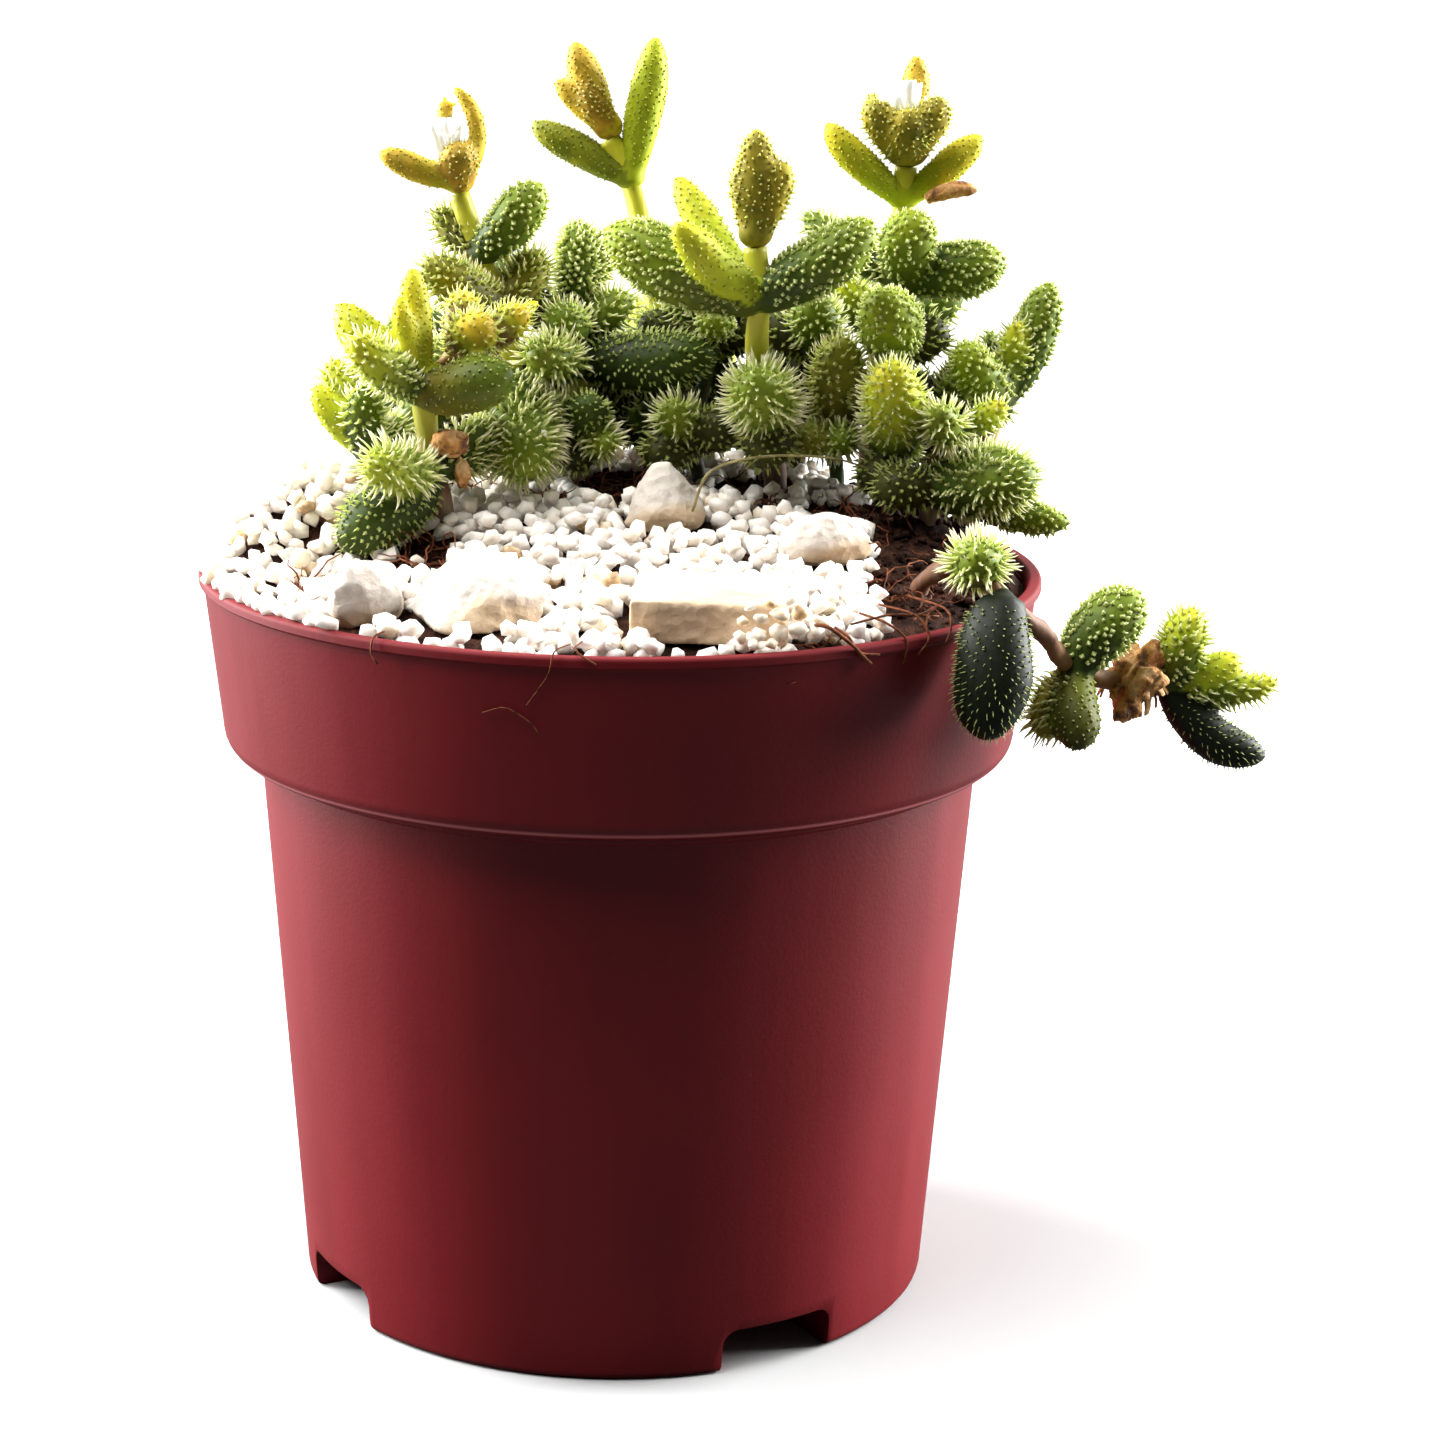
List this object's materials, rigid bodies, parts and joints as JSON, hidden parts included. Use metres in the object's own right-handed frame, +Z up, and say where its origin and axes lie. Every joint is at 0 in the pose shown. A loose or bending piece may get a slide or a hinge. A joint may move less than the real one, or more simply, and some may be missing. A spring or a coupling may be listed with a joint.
{
  "type": "potted pickle plant",
  "caption": "Small branching succulent with fleshy leaves covered in white bristles, in a round stepped nursery pot of soil, white grit and stones.",
  "frame": {"origin": "centre of the pot's base on its axis, on the surface that it stands on", "axes": "+Z up along the pot's axis, -Y towards the side that the picture shows, +X to the right of that view"},
  "size_m": [0.107, 0.085, 0.1263],
  "materials": {
    "pot_plastic": "satin deep red injection-moulded plastic",
    "soil": "dark coir and peat, rough",
    "white_grit": "small white rounded granules",
    "pale_stone": "off-white limestone, dry and chalky",
    "leaf": "fleshy green leaf set with white bristles",
    "young_leaf": "fleshy lime leaf with short bristles",
    "stem_bark": "yellow-green stem, papery brown near the soil",
    "sepal": "fleshy olive to orange-brown sepal",
    "petal": "thin white petals",
    "dry_plant": "dry brown leaf and withered flower"
  },
  "bodies": {
    "root": {"back_centre_leaves_1": "leaf", "back_centre_leaves_2": "leaf", "back_centre_stem": "stem_bark", "back_left_leaves_1": "leaf", "back_left_leaves_2": "leaf", "back_left_stem": "stem_bark", "back_right_leaves_1": "leaf", "back_right_leaves_2": "leaf", "back_right_stem": "stem_bark", "centre_bud": "sepal", "centre_leaves_1": "leaf", "centre_leaves_3": "leaf", "centre_stem": "stem_bark", "dry_leaf": "dry_plant", "front_right_leaves_1": "leaf", "front_right_leaves_2": "leaf", "front_right_stem": "stem_bark", "grit": "white_grit", "left_flower_calyx": "sepal", "left_flower_leaves_1": "leaf", "left_flower_leaves_2": "leaf", "left_flower_leaves_3": "leaf", "left_flower_petals": "petal", "left_flower_stem": "stem_bark", "left_leaves_1": "leaf", "left_leaves_2": "young_leaf", "left_stem": "stem_bark", "low_centre_shoot": "leaf", "low_left_shoot": "young_leaf", "mid_right_shoot": "leaf", "pot": "pot_plastic", "right_flower_calyx": "sepal", "right_flower_leaves_1": "leaf", "right_flower_leaves_2": "leaf", "right_flower_leaves_3": "leaf", "right_flower_leaves_4": "leaf", "right_flower_petals": "petal", "right_flower_stem": "stem_bark", "right_leaves_2": "leaf", "right_stem": "stem_bark", "soil": "soil", "stone_back": "pale_stone", "stone_flat": "pale_stone", "stone_large": "pale_stone", "stone_rounded": "pale_stone", "stone_slab": "pale_stone", "tall_calyx": "sepal", "tall_leaves_1": "leaf", "tall_leaves_3": "leaf", "tall_stem": "stem_bark", "trailing_leaves_1": "leaf", "trailing_leaves_2": "leaf", "trailing_leaves_4": "leaf", "trailing_leaves_6": "leaf", "trailing_stem": "stem_bark", "upright_leaves_1": "leaf", "upright_leaves_2": "leaf", "upright_leaves_3": "leaf", "upright_stem": "stem_bark", "withered_flower": "dry_plant"}
  },
  "joints": []
}
